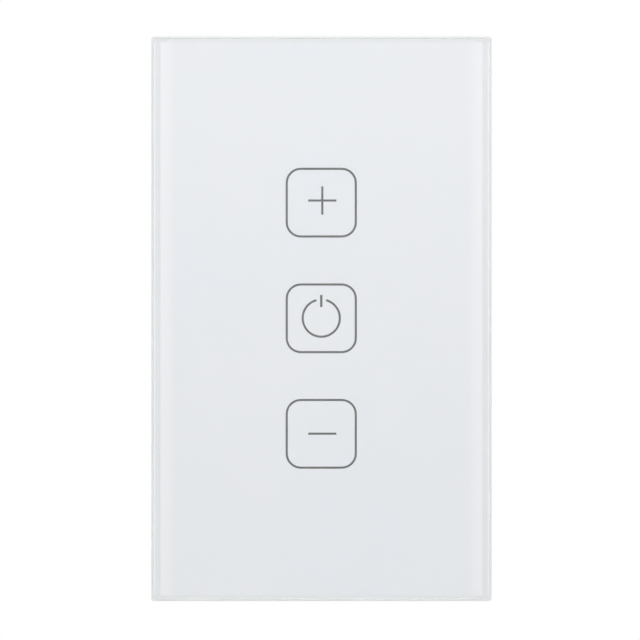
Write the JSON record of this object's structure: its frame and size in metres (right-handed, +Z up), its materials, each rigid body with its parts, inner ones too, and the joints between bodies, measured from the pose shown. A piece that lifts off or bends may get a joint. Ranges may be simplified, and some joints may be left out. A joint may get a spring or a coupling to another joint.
{
  "type": "touch dimmer switch",
  "caption": "Flat glass touch dimmer for a single wall box: plus, power and minus keys printed behind the panel, steel strap, rear housing with rising-clamp terminals.",
  "frame": {"origin": "on the wall plane, at the middle of the mounting strap, midway between the two box-screw slots", "axes": "+X to the right as seen from the room, +Y into the wall, +Z up; the glass faces -Y"},
  "size_m": [0.0724, 0.0395, 0.12],
  "materials": {
    "toughened_glass": "polished",
    "white_ink": "satin",
    "white_abs": "satin",
    "white_polycarbonate": "satin",
    "galvanised_steel": "satin",
    "zinc_plated_screw": "satin",
    "spring_wire": "satin",
    "board_laminate": "satin",
    "led_lens": "satin",
    "black_resin": "matte",
    "tinplate": "satin",
    "terminal_polyamide": "satin",
    "tinned_brass": "satin",
    "aluminium_sheet": "satin",
    "capacitor_sleeve": "satin",
    "capacitor_box": "satin",
    "ferrite": "matte",
    "enamelled_copper": "satin",
    "polyester_tape": "satin",
    "fuse_body": "satin",
    "varistor_coating": "satin"
  },
  "bodies": {
    "switch_body": {"base_cover": "white_polycarbonate", "mounting_strap": "galvanised_steel", "rear_housing": "white_polycarbonate", "housing_screw_1": "zinc_plated_screw", "housing_screw_2": "zinc_plated_screw", "housing_screw_3": "zinc_plated_screw", "housing_screw_4": "zinc_plated_screw", "touch_board": "board_laminate", "touch_spring_upper": "spring_wire", "touch_spring_middle": "spring_wire", "touch_spring_lower": "spring_wire", "indicator_led_upper": "led_lens", "indicator_led_middle": "led_lens", "indicator_led_lower": "led_lens", "touch_chip": "black_resin", "radio_module": "board_laminate", "radio_shield": "tinplate", "board_header": "black_resin", "board_socket": "black_resin", "power_board": "board_laminate", "terminal_block": "terminal_polyamide", "current_bar_1": "tinned_brass", "current_bar_2": "tinned_brass", "current_bar_3": "tinned_brass", "current_bar_4": "tinned_brass", "heat_sink": "aluminium_sheet", "power_transistor_1": "black_resin", "power_transistor_2": "black_resin", "transistor_screw_1": "zinc_plated_screw", "transistor_screw_2": "zinc_plated_screw", "electrolytic_capacitor": "capacitor_sleeve", "film_capacitor": "capacitor_box", "bridge_rectifier": "black_resin", "choke_core": "ferrite", "choke_winding": "enamelled_copper", "transformer_core": "ferrite", "transformer_winding": "polyester_tape", "fuse": "fuse_body", "varistor": "varistor_coating"},
    "front_panel": {"glass_panel": "toughened_glass", "printed_film": "white_ink", "panel_carrier": "white_abs"},
    "clamp_screw_1": {"terminal_screw_1": "zinc_plated_screw"},
    "clamp_screw_2": {"terminal_screw_2": "zinc_plated_screw"},
    "clamp_screw_3": {"terminal_screw_3": "zinc_plated_screw"},
    "clamp_screw_4": {"terminal_screw_4": "zinc_plated_screw"},
    "clamp_cage_1": {"terminal_cage_1": "zinc_plated_screw"},
    "clamp_cage_2": {"terminal_cage_2": "zinc_plated_screw"},
    "clamp_cage_3": {"terminal_cage_3": "zinc_plated_screw"},
    "clamp_cage_4": {"terminal_cage_4": "zinc_plated_screw"}
  },
  "joints": [
    {"name": "panel_release", "type": "slide", "parent": "switch_body", "child": "front_panel", "axis": [0, -1, 0], "range_m": [0, 0.014]},
    {"name": "cage_rise_1", "type": "slide", "parent": "switch_body", "child": "clamp_cage_1", "axis": [0, 1, 0], "range_m": [0, 0.0039]},
    {"name": "screw_turn_1", "type": "hinge", "parent": "switch_body", "child": "clamp_screw_1", "pos_m": [-0.01125, 0.021, -0.02955], "axis": [0, -1, 0], "range_deg": [0, 2340]},
    {"name": "cage_rise_2", "type": "slide", "parent": "switch_body", "child": "clamp_cage_2", "axis": [0, 1, 0], "range_m": [0, 0.0039]},
    {"name": "screw_turn_2", "type": "hinge", "parent": "switch_body", "child": "clamp_screw_2", "pos_m": [-0.00375, 0.021, -0.02955], "axis": [0, -1, 0], "range_deg": [0, 2340]},
    {"name": "cage_rise_3", "type": "slide", "parent": "switch_body", "child": "clamp_cage_3", "axis": [0, 1, 0], "range_m": [0, 0.0039]},
    {"name": "screw_turn_3", "type": "hinge", "parent": "switch_body", "child": "clamp_screw_3", "pos_m": [0.00375, 0.021, -0.02955], "axis": [0, -1, 0], "range_deg": [0, 2340]},
    {"name": "cage_rise_4", "type": "slide", "parent": "switch_body", "child": "clamp_cage_4", "axis": [0, 1, 0], "range_m": [0, 0.0039]},
    {"name": "screw_turn_4", "type": "hinge", "parent": "switch_body", "child": "clamp_screw_4", "pos_m": [0.01125, 0.021, -0.02955], "axis": [0, -1, 0], "range_deg": [0, 2340]}
  ],
  "couplings": [
    {"joint": "screw_turn_1", "follows": "cage_rise_1", "rad_per_m": 10472},
    {"joint": "screw_turn_2", "follows": "cage_rise_2", "rad_per_m": 10472},
    {"joint": "screw_turn_3", "follows": "cage_rise_3", "rad_per_m": 10472},
    {"joint": "screw_turn_4", "follows": "cage_rise_4", "rad_per_m": 10472}
  ]
}
